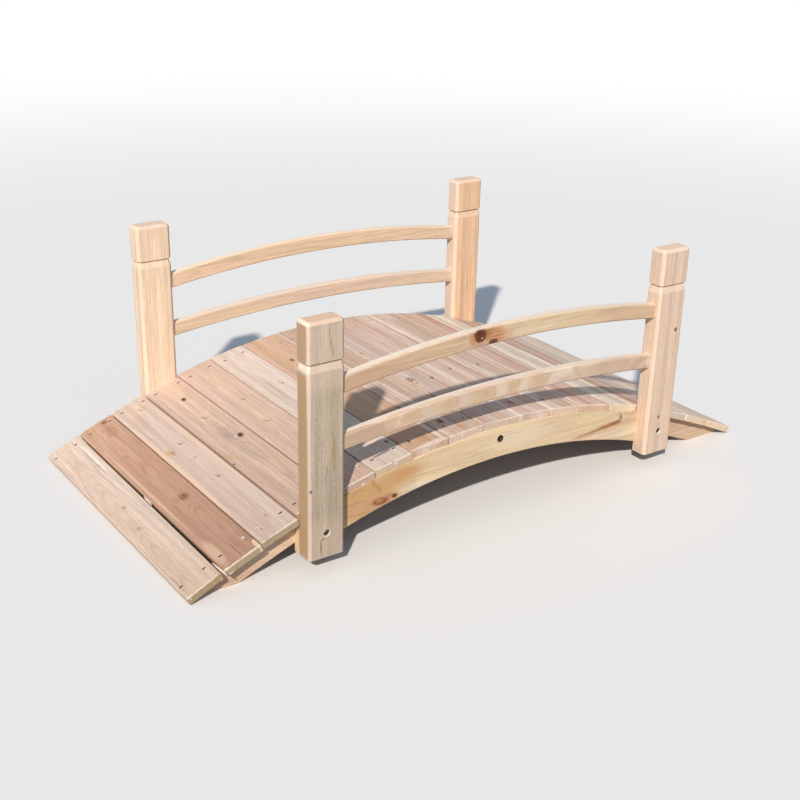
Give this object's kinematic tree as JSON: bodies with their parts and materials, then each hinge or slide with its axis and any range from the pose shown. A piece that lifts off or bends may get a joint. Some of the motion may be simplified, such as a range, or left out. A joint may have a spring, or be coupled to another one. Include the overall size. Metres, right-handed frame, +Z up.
{
  "type": "garden moon bridge",
  "caption": "Small arched garden bridge in natural cedar: boarded deck on two curved stringers, notched posts and arched double rails on both sides.",
  "frame": {"origin": "on the ground under the middle of the bridge", "axes": "+X along the bridge to its right end, +Y across it to the back, +Z up"},
  "size_m": [1.475, 0.79, 0.523],
  "materials": {
    "deck_cedar": "unfinished, planed",
    "frame_cedar": "unfinished, sawn",
    "rail_cedar": "unfinished, planed",
    "post_cedar": "unfinished, rough sawn",
    "zinc_steel": "zinc plated"
  },
  "bodies": {
    "root": {"deck_board_01": "deck_cedar", "deck_board_02": "deck_cedar", "deck_board_03": "deck_cedar", "deck_board_04": "deck_cedar", "deck_board_05": "deck_cedar", "deck_board_06": "deck_cedar", "deck_board_07": "deck_cedar", "deck_board_08": "deck_cedar", "deck_board_09": "deck_cedar", "deck_board_10": "deck_cedar", "deck_board_11": "deck_cedar", "deck_board_12": "deck_cedar", "deck_board_13": "deck_cedar", "deck_board_14": "deck_cedar", "deck_board_15": "deck_cedar", "deck_board_16": "deck_cedar", "deck_board_17": "deck_cedar", "stringer_front": "frame_cedar", "facing_arch_front": "frame_cedar", "top_rail_front": "rail_cedar", "low_rail_front": "rail_cedar", "tie_screw_front": "zinc_steel", "post_front_left": "post_cedar", "post_screw_front_left": "zinc_steel", "post_front_right": "post_cedar", "post_screw_front_right": "zinc_steel", "stringer_back": "frame_cedar", "facing_arch_back": "frame_cedar", "top_rail_back": "rail_cedar", "low_rail_back": "rail_cedar", "tie_screw_back": "zinc_steel", "post_back_left": "post_cedar", "post_screw_back_left": "zinc_steel", "post_back_right": "post_cedar", "post_screw_back_right": "zinc_steel", "cross_tie": "frame_cedar"}
  },
  "joints": []
}
